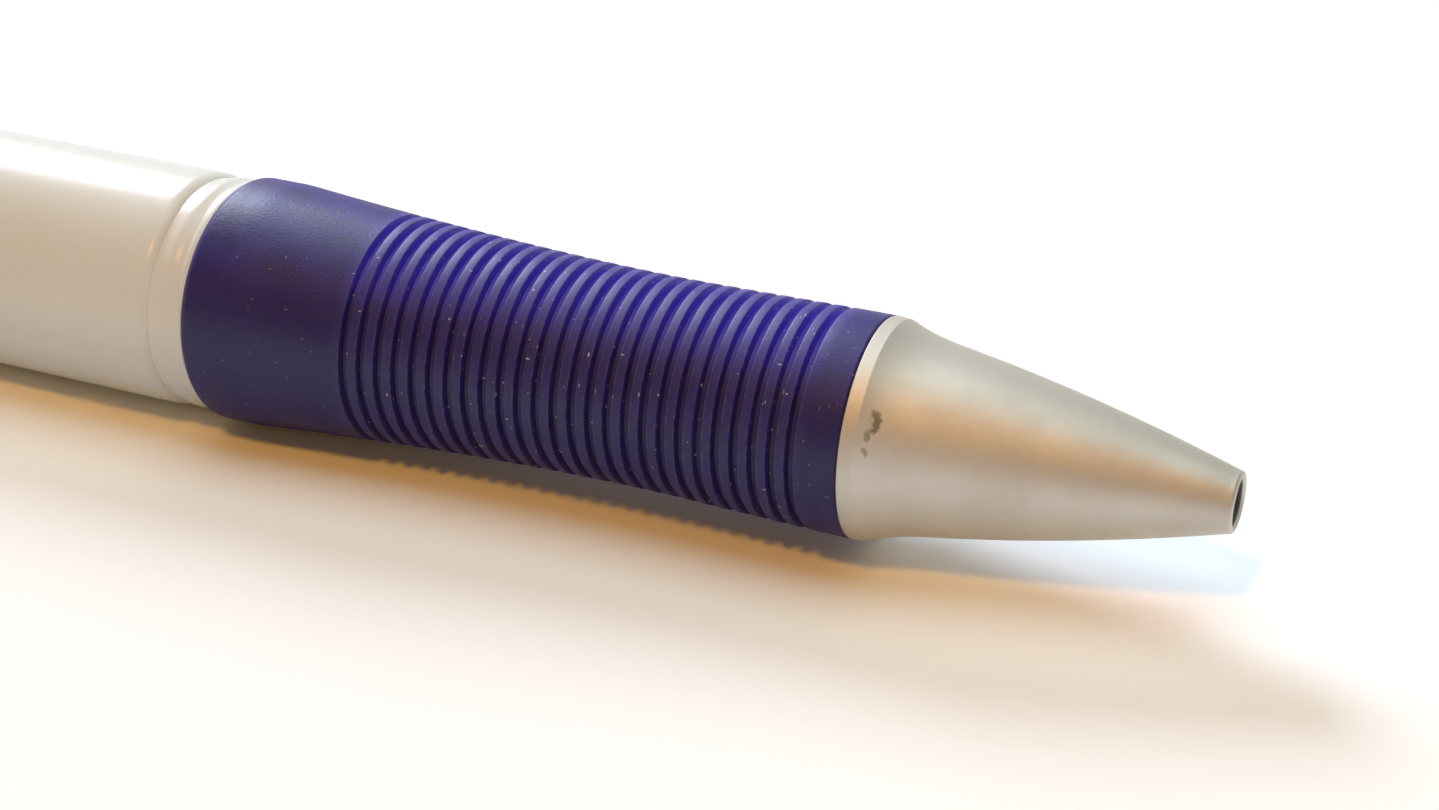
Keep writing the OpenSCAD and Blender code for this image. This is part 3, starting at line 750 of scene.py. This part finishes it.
class Net:
    """Adds and links the nodes of a material, a group or the world."""

    def __init__(self, tree):
        self.tree = tree
        tree.nodes.clear()

    def add(self, kind, inputs=None, **settings):
        node = self.tree.nodes.new(kind)
        for key, value in settings.items():
            setattr(node, key, value)
        for key, value in (inputs or {}).items():
            if isinstance(value, bpy.types.NodeSocket):
                self.tree.links.new(value, node.inputs[key])
            else:
                node.inputs[key].default_value = value
        return node

    def math(self, operation, *values, clamp=False):
        inputs = dict(enumerate(values))
        return self.add("ShaderNodeMath", inputs, operation=operation, use_clamp=clamp).outputs[0]

    def times(self, *values):
        """The product of several values."""
        return reduce(lambda a, b: self.math("MULTIPLY", a, b), values)

    def largest(self, *values):
        """The largest of several values."""
        return reduce(lambda a, b: self.math("MAXIMUM", a, b), values)

    def vary(self, share, start, change):
        """A value that changes from its start with a share."""
        return self.math("MULTIPLY_ADD", share, change, start)

    def fade(self, value, low, high, start=0.0, end=1.0):
        """A share that goes smoothly from its start to its end between two values."""
        inputs = {
            "Value": value, "From Min": low, "From Max": high, "To Min": start, "To Max": end}
        return self.add("ShaderNodeMapRange", inputs, interpolation_type="SMOOTHSTEP").outputs[0]

    def fall(self, value, low, high):
        """A share that falls smoothly from 1 to 0 between two values."""
        return self.fade(value, low, high, 1.0, 0.0)

    def mix(self, share, *colours):
        """Two colours mixed by a share. Each is a socket, or red, green and blue."""
        first, second = [c if isinstance(c, bpy.types.NodeSocket) else (*c, 1.0) for c in colours]
        node = self.add("ShaderNodeMix", {0: share, 6: first, 7: second}, data_type="RGBA")
        return node.outputs[2]

    def noise(self, vector, scale, detail=2.0, roughness=0.5):
        inputs = {"Vector": vector, "Scale": scale, "Detail": detail, "Roughness": roughness}
        return self.add("ShaderNodeTexNoise", inputs).outputs["Fac"]

    def place(self, vector, location=(0, 0, 0), scale=(1, 1, 1)):
        """Coordinates scaled and then moved."""
        inputs = {"Vector": vector, "Location": location, "Scale": scale}
        return self.add("ShaderNodeMapping", inputs).outputs[0]

    def distance(self, vector):
        """Distance of coordinates from their origin."""
        return self.add("ShaderNodeVectorMath", {0: vector}, operation="LENGTH").outputs["Value"]

    def object_coordinates(self):
        return self.add("ShaderNodeTexCoord").outputs["Object"]

    def attribute(self, name):
        return self.add("ShaderNodeAttribute", attribute_name=name).outputs["Fac"]

    def effect(self, name, vector, **inputs):
        """Outputs of a shared group of nodes, which is made when it is first asked for."""
        group = bpy.data.node_groups.get(name) or new_group(name, *EFFECTS[name])
        inputs = {"Vector": vector, **socket_names(inputs)}
        return self.add("ShaderNodeGroup", inputs, node_tree=group).outputs

    def bump(self, height, strength, distance):
        inputs = {"Height": height, "Strength": strength, "Distance": distance}
        return self.add("ShaderNodeBump", inputs).outputs[0]

    def surface(self, **inputs):
        """A Principled BSDF with these inputs, as the material's surface."""
        shader = self.add("ShaderNodeBsdfPrincipled", socket_names(inputs))
        self.add("ShaderNodeOutputMaterial", {"Surface": shader.outputs[0]})


def darker(rgb, share):
    """A colour at a share of its strength."""
    return [share * value for value in rgb]


def made_of(fill, name=None, **options):
    """The material that a function fills with nodes, made when it is first asked for.

    The prefix keeps its name apart from the plain materials that come with the frame.
    """
    name = "pen_" + (name or fill.__name__)
    material = bpy.data.materials.get(name)
    if material is None:
        material = bpy.data.materials.new(name)
        material.use_nodes = True
        fill(Net(material.node_tree), bpy.context.scene, **options)
    return material


def new_group(name, fill, inputs, outputs):
    """A group of shader nodes that takes a vector and some numbers, and gives some masks."""
    group = bpy.data.node_groups.new(name, "ShaderNodeTree")
    net = Net(group)
    group.interface.new_socket("Vector", in_out="INPUT", socket_type="NodeSocketVector")
    for socket, default in inputs.items():
        made = group.interface.new_socket(socket, in_out="INPUT", socket_type="NodeSocketFloat")
        made.default_value = default
    for socket in outputs:
        group.interface.new_socket(socket, in_out="OUTPUT", socket_type="NodeSocketFloat")
    given = net.add("NodeGroupInput").outputs
    net.add("NodeGroupOutput", dict(zip(outputs, fill(net, given))))
    return group


def surface_grain(net, given):
    """Fine grain for bump, and broad mottling for colour and gloss."""
    grain = net.noise(given["Vector"], given["Grain Scale"], detail=3.0, roughness=0.6)
    mottle = net.noise(given["Vector"], given["Mottle Scale"], detail=4.0, roughness=0.55)
    return grain, net.fade(mottle, 0.3, 0.7)


# Stretch of the scratches that run along the pen, round it and aslant
SCUFF_STRETCHES = ((0.12, 1.0, 1.0), (1.0, 0.18, 0.25), (0.3, 0.5, 1.4))
SCUFF_WIDTH = 0.012


def fine_scuffs(net, given):
    """Thin scratches in patches, from handling."""
    lines = []
    for stretch in SCUFF_STRETCHES:
        streak = net.noise(net.place(given["Vector"], scale=stretch), given["Scale"], detail=1.0)
        off_middle = net.math("ABSOLUTE", net.math("SUBTRACT", streak, 0.5))
        lines.append(net.fall(off_middle, 0.0, SCUFF_WIDTH))
    patches = net.fade(net.noise(given["Vector"], scale=260.0), 0.52, 0.72)
    scuffs = net.times(net.largest(*lines), patches)
    return [net.math("MULTIPLY", scuffs, given["Amount"], clamp=True)]


# Stretch and size of round specks, and of short hairs along the pen and round it
LINT_KINDS = (((1, 1, 1), 0.13), ((0.35, 1.1, 1.2), 0.11), ((1.3, 0.4, 0.45), 0.10))


def lint_specks(net, given):
    """Specks and short hairs of lint, and a thin film of dust."""
    specks = []
    for stretch, size in LINT_KINDS:
        place = net.place(given["Vector"], scale=stretch)
        cells = net.add("ShaderNodeTexVoronoi", {"Vector": place, "Scale": given["Scale"]}).outputs
        luck = net.add("ShaderNodeSeparateColor", {"Color": cells["Color"]}).outputs
        chosen = net.math("LESS_THAN", luck[0], given["Amount"])
        pale = net.times(chosen, net.vary(luck[1], start=0.25, change=0.75))
        rough = net.noise(given["Vector"], scale=9000.0)
        ragged = net.vary(rough, start=cells["Distance"], change=0.12)
        reach = net.vary(luck[2], start=0.02, change=size)
        far = net.math("DIVIDE", net.math("SUBTRACT", ragged, 0.06), reach)
        specks.append(net.times(net.fall(far, 0.5, 1.0), pale))
    film = net.noise(given["Vector"], scale=420.0, detail=5.0, roughness=0.65)
    return net.largest(*specks), net.fade(film, 0.35, 0.75)


# Shared groups of nodes: what fills each, its inputs beside the vector, and its outputs
EFFECTS = {
    "surface_grain": (
        surface_grain, {"Grain Scale": 9000.0, "Mottle Scale": 300.0}, ("Grain", "Mottle")),
    "fine_scuffs": (fine_scuffs, {"Scale": 900.0, "Amount": 0.5}, ("Scuffs",)),
    "lint_specks": (lint_specks, {"Scale": 1900.0, "Amount": 0.65}, ("Specks", "Film")),
}

# Chip by the rim, the finish kept in its hook, its tail, and a fainter mark with its own hook:
# station in mm, degrees above the front, and half sizes along X, Y and Z in mm
CHIP_SPOTS = (
    (15.74, 34, (0.36, 0.55, 0.74)), (16.02, 33, (0.34, 0.45, 0.5)),
    (15.92, 26, (0.18, 0.26, 0.34)), (15.96, 17, (0.22, 0.3, 0.3)),
    (16.08, 15, (0.2, 0.28, 0.3)))


def worn_spot(net, position, out, station, degrees, sizes):
    """Mask of an uneven spot at a distance from the axis."""
    above, sizes = math.radians(degrees), [size * MM for size in sizes]
    centre = on_axis(station * MM, out * math.sin(above), -out * math.cos(above))
    shift = [-place / size for place, size in zip(centre, sizes)]
    far = net.distance(net.place(position, shift, [1 / size for size in sizes]))
    rough = net.noise(position, scale=4200.0, detail=5.0, roughness=0.75)
    uneven = net.vary(rough, start=-0.8, change=1.6)
    return net.fall(net.math("ADD", far, uneven), 0.6, 1.0)


def chipped_rim(net, position, z):
    """Mask of a hooked chip with a tail, and of a fainter mark below it, beside the rim."""
    out = z.rim_radius - 0.25 * MM
    chip, kept, tail, mark, bare = [worn_spot(net, position, out, *spot) for spot in CHIP_SPOTS]
    hook = net.math("SUBTRACT", chip, net.times(kept, 0.85), clamp=True)
    spots = net.largest(hook, net.times(tail, 0.7))
    faint = net.times(net.math("SUBTRACT", mark, bare, clamp=True), 0.5)
    return net.largest(net.times(spots, 0.85), faint)


def inside_hole(net, position, z):
    """Mask of the bore that the point comes through."""
    out = net.distance(net.place(position, [0, -AXIS.y, -AXIS.z], [0, 1, 1]))
    return net.fall(out, z.hole_radius + 0.01 * MM, z.hole_radius + 0.06 * MM)


def satin_metal(net, scene, worn=False):
    """Satin metal with a fine blasted grain; the nose cone's also has chips and a dull bore."""
    c, z = scene.pen_colours, scene.pen_sizes
    position = net.object_coordinates()
    grain = net.effect("surface_grain", position, grain_scale=12000.0, mottle_scale=260.0)
    base = net.mix(grain["Mottle"], c.metal, c.metal_shade)
    roughness = net.vary(grain["Mottle"], start=0.57 if worn else 0.4, change=0.06)
    metallic = 1.0
    if worn:
        spots = chipped_rim(net, position, z)
        base = net.mix(spots, base, c.worn)
        base = net.mix(inside_hole(net, position, z), base, c.bore)
        roughness = net.vary(spots, start=roughness, change=0.2)
        metallic = net.vary(spots, start=metallic, change=-0.6)
    normal = net.bump(grain["Grain"], strength=0.9, distance=0.016 * MM)
    net.surface(base_color=base, metallic=metallic, roughness=roughness, normal=normal)


def grip_rubber(net, scene):
    """Indigo rubber: deep in the grooves, handled and dusty on the ribs, with lint on it. Its upper
    half is painted lighter and its lower half darker, as painted light and shade from above, and its
    rib edges are painted pale as rubbed dust and a painted highlight.
    """
    c = scene.pen_colours
    position = net.object_coordinates()
    grain = net.effect("surface_grain", position, mottle_scale=220.0)
    lint = net.effect("lint_specks", position)
    crest, band = net.attribute("crest"), net.attribute("smooth_band")
    dust = net.vary(lint["Film"], start=0.75, change=0.25)
    dusty = net.times(net.fade(crest, 0.55, 0.95), dust)
    # Painted light and shade: the rubber is painted lighter above the axis, as if lit from above, and
    # darker below it, as if shaded.
    height = net.add("ShaderNodeSeparateXYZ", {"Vector": position}).outputs["Z"]
    lit_from_above = net.fade(height, AXIS.z + 2.9 * MM, AXIS.z + 4.8 * MM)
    ribs = net.mix(lit_from_above, c.rubber_rib, c.rubber_top)
    grooves = net.mix(lit_from_above, c.rubber_grime, c.rubber)
    base = net.mix(dusty, grooves, net.mix(band, ribs, c.rubber_band))
    # Pale rib edges in patches: rubbed dust, and a painted highlight along the rib lips.
    edge = net.times(net.fade(crest, 0.8, 0.93), net.fall(crest, 0.97, 1.0))
    patches = net.fade(net.noise(position, scale=3000.0, detail=3.0), 0.35, 0.65)
    base = net.mix(net.times(edge, patches, 0.6), base, c.rubber_edge)
    specks = net.times(lint["Specks"], net.vary(band, start=1.0, change=-0.7))
    base = net.mix(specks, base, c.lint)
    roughness = net.vary(grain["Mottle"], start=0.44, change=0.1)
    along = net.place(position, scale=(0.5, 1.0, 1.0))
    wrinkles = net.noise(along, scale=9000.0, detail=3.0, roughness=0.6)
    normal = net.bump(net.math("ADD", specks, wrinkles), strength=0.6, distance=0.03 * MM)
    net.surface(base_color=base, roughness=roughness, normal=normal, ior=1.55,
                subsurface_weight=1.0, subsurface_radius=(0.4, 0.3, 1.0),
                subsurface_scale=0.25 * MM)


def white_plastic(net, scene):
    """Glossy white plastic with a faint ripple and fine scuffs."""
    c = scene.pen_colours
    position = net.object_coordinates()
    grain = net.effect("surface_grain", position, grain_scale=700.0, mottle_scale=90.0)
    scuffs = net.effect("fine_scuffs", position)["Scuffs"]
    base = net.mix(grain["Mottle"], c.plastic, c.plastic_shade)
    shine = net.vary(grain["Mottle"], start=0.27, change=0.05)
    roughness = net.vary(scuffs, start=shine, change=0.3)
    normal = net.bump(grain["Grain"], strength=0.05, distance=0.02 * MM)
    net.surface(base_color=base, roughness=roughness, normal=normal, ior=1.5, coat_weight=0.1,
                coat_roughness=0.2)


def moulded_plastic(net, scene, key):
    """Plain moulded plastic of the pieces inside."""
    tint = getattr(scene.pen_colours, key)
    grain = net.effect("surface_grain", net.object_coordinates())
    base = net.mix(grain["Mottle"], tint, darker(tint, 0.88))
    roughness = net.vary(grain["Mottle"], start=0.36, change=0.12)
    normal = net.bump(grain["Grain"], strength=0.15, distance=0.01 * MM)
    net.surface(base_color=base, roughness=roughness, normal=normal, ior=1.48)


def spring_steel(net, scene):
    """Drawn wire with a fine grain."""
    tint = scene.pen_colours.steel
    grain = net.effect("surface_grain", net.object_coordinates())
    base = net.mix(grain["Mottle"], tint, darker(tint, 0.8))
    roughness = net.vary(grain["Grain"], start=0.18, change=0.15)
    normal = net.bump(grain["Grain"], strength=0.1, distance=0.005 * MM)
    net.surface(base_color=base, metallic=1.0, roughness=roughness, normal=normal)


def point_metal(net, scene):
    """Turned metal of the point, with tool rings round it."""
    tint = scene.pen_colours.brass
    position = net.object_coordinates()
    grain = net.effect("surface_grain", position)
    around = net.place(position, scale=(1.0, 0.004, 0.004))
    rings = net.noise(around, scale=26000.0, detail=1.0)
    base = net.mix(grain["Mottle"], tint, darker(tint, 0.85))
    roughness = net.vary(rings, start=0.16, change=0.18)
    normal = net.bump(rings, strength=0.25, distance=0.004 * MM)
    net.surface(base_color=base, metallic=1.0, roughness=roughness, normal=normal)


def ball_metal(net, scene):
    """Ground ball with a matt grey sheen and a little ink on it."""
    c = scene.pen_colours
    grain = net.effect("surface_grain", net.object_coordinates(), mottle_scale=1800.0)
    inked = net.times(grain["Mottle"], 0.6)
    roughness = net.vary(grain["Grain"], start=0.15, change=0.1)
    net.surface(base_color=net.mix(inked, c.ball, c.ink),
                metallic=net.math("SUBTRACT", 1.0, inked), roughness=roughness)


def clear_plastic(net, scene):
    """Clear plastic of the ink tube."""
    tint = scene.pen_colours.tube
    grain = net.effect("surface_grain", net.object_coordinates())
    base = net.mix(grain["Mottle"], tint, darker(tint, 0.95))
    roughness = net.vary(grain["Mottle"], start=0.12, change=0.06)
    net.surface(base_color=base, roughness=roughness, ior=1.49, transmission_weight=0.85)


def ink_liquid(net, scene):
    """Thick blue ink."""
    tint = scene.pen_colours.ink
    mottle = net.noise(net.object_coordinates(), scale=500.0, detail=3.0)
    net.surface(base_color=net.mix(mottle, tint, darker(tint, 0.6)),
                roughness=net.vary(mottle, start=0.08, change=0.1), ior=1.45)


def follower_grease(net, scene):
    """Pale grease behind the ink."""
    tint = scene.pen_colours.follower
    mottle = net.noise(net.object_coordinates(), scale=900.0, detail=3.0)
    net.surface(base_color=net.mix(mottle, tint, darker(tint, 0.8)),
                roughness=net.vary(mottle, start=0.2, change=0.15), ior=1.47)


def floor_paint(net, scene):
    """Plain pale floor, seen whiter than it shines on the pen, with the pen's shadow kept."""
    stage = scene.pen_stage
    speckle = net.noise(net.object_coordinates(), scale=1500.0, detail=4.0, roughness=0.6)
    tone = net.mix(speckle, stage.floor, darker(stage.floor, 0.985))
    path = net.add("ShaderNodeLightPath").outputs
    mirrored = net.times(path["Is Glossy Ray"], 0.35)
    seen = net.largest(path["Is Camera Ray"], mirrored, path["Is Transmission Ray"])
    whiter = net.vary(seen, start=1.0, change=stage.floor_lift - 1.0)
    shown = net.add("ShaderNodeVectorMath", {0: tone, "Scale": whiter}, operation="SCALE")
    paper = net.add("ShaderNodeBsdfDiffuse", {"Color": shown.outputs[0], "Roughness": 0.5})
    net.add("ShaderNodeOutputMaterial", {"Surface": paper.outputs[0]})


# Lamps: settings that hold the tint and power, direction from the grip, distance and width
LAMPS = {
    "window": ("window", (-0.633, 0.534, 0.561), 0.9, 0.36),
    "warm_lamp": ("lamp", (-0.03, -0.54, 0.84), 0.7, 0.09),
    "panel": ("panel", (0.0, 0.05, 0.99), 1.0, 0.9),
}
LIT_STATION = 30 * MM
FLOOR_RADIUS = 12.0


def add_lamp(stage, name, key, toward, distance, width):
    """A round area lamp that shines on the middle of the grip from a direction."""
    direction = Vector(toward).normalized()
    bpy.ops.object.light_add(type="AREA", location=on_axis(LIT_STATION) + direction * distance)
    lamp = bpy.context.object
    lamp.name = name
    lamp.data.shape = "DISK"
    lamp.data.size = width
    lamp.data.energy = getattr(stage, key + "_power")
    lamp.data.color = getattr(stage, key)
    lamp.rotation_euler = direction.to_track_quat("Z", "Y").to_euler()
    lamp.visible_camera = False


def room_light(stage):
    """A world with a warm room in front, a pale wall behind and a dark ceiling."""
    world = bpy.data.worlds.new("soft_room")
    world.use_nodes = True
    net = Net(world.node_tree)
    toward = net.add("ShaderNodeTexCoord").outputs["Generated"]
    toward = net.add("ShaderNodeSeparateXYZ", {"Vector": toward}).outputs
    sides = net.mix(net.fade(toward["Y"], -0.35, 0.45), stage.room, stage.wall)
    light = net.mix(net.fade(toward["Z"], 0.2, 0.9), sides, stage.ceiling)
    sky = net.add("ShaderNodeBackground", {"Color": light, "Strength": 1.0})
    net.add("ShaderNodeOutputWorld", {"Surface": sky.outputs[0]})
    return world


class PEN_OT_stage(bpy.types.Operator):
    """Lay the floor, hang the lamps and set the camera"""

    bl_idname = "pen.stage"
    bl_label = "Stage"

    def execute(self, context):
        stage = context.scene.pen_stage
        deselect()
        bpy.ops.mesh.primitive_circle_add(
            vertices=96, radius=FLOOR_RADIUS, fill_type="NGON", location=(0, 0, 0))
        floor = context.object
        floor.name = "floor"
        floor.data.materials.append(made_of(floor_paint))
        for name, lamp in LAMPS.items():
            add_lamp(stage, name, *lamp)
        context.scene.world = room_light(stage)
        bpy.ops.object.camera_add(
            location=on_axis(0) + Vector(stage.camera_from_tip),
            rotation=(math.radians(90) - stage.elevation, 0, stage.azimuth))
        camera = context.object
        camera.name = "photo_camera"
        camera.data.sensor_width = 36
        camera.data.lens = stage.lens
        camera.data.clip_start = 1 * MM
        context.scene.camera = camera
        context.scene.view_settings.view_transform = "Standard"
        return {"FINISHED"}


STEPS = (PEN_OT_stage, PEN_OT_nose_cone, PEN_OT_grip, PEN_OT_front_section, PEN_OT_barrel,
         PEN_OT_top_collar, PEN_OT_clip, PEN_OT_push_button, PEN_OT_spring, PEN_OT_refill,
         PEN_OT_click_parts)
SETTINGS = {"pen_sizes": PenSizes, "pen_colours": PenColours, "pen_stage": PenStage}


class PEN_PT_build(bpy.types.Panel):
    """Lists the steps and settings of the pen"""

    bl_idname = "PEN_PT_build"
    bl_label = "Ballpoint Pen"
    bl_space_type = "VIEW_3D"
    bl_region_type = "UI"
    bl_category = "Pen"

    def draw(self, context):
        for step in STEPS:
            self.layout.operator(step.bl_idname)
        for group in SETTINGS:
            settings = getattr(context.scene, group)
            box = self.layout.box()
            for key in settings.bl_rna.properties.keys():
                if key not in ("rna_type", "name"):
                    box.prop(settings, key)


CLASSES = (*SETTINGS.values(), *STEPS, PEN_PT_build)


def register():
    for cls in CLASSES:
        bpy.utils.register_class(cls)
    for key, cls in SETTINGS.items():
        setattr(bpy.types.Scene, key, bpy.props.PointerProperty(type=cls))


def unregister():
    for key in SETTINGS:
        delattr(bpy.types.Scene, key)
    for cls in reversed(CLASSES):
        bpy.utils.unregister_class(cls)


def main():
    register()
    for step in STEPS:
        group, name = step.bl_idname.split(".")
        getattr(getattr(bpy.ops, group), name)()
    deselect()


if __name__ == "__main__":
    main()
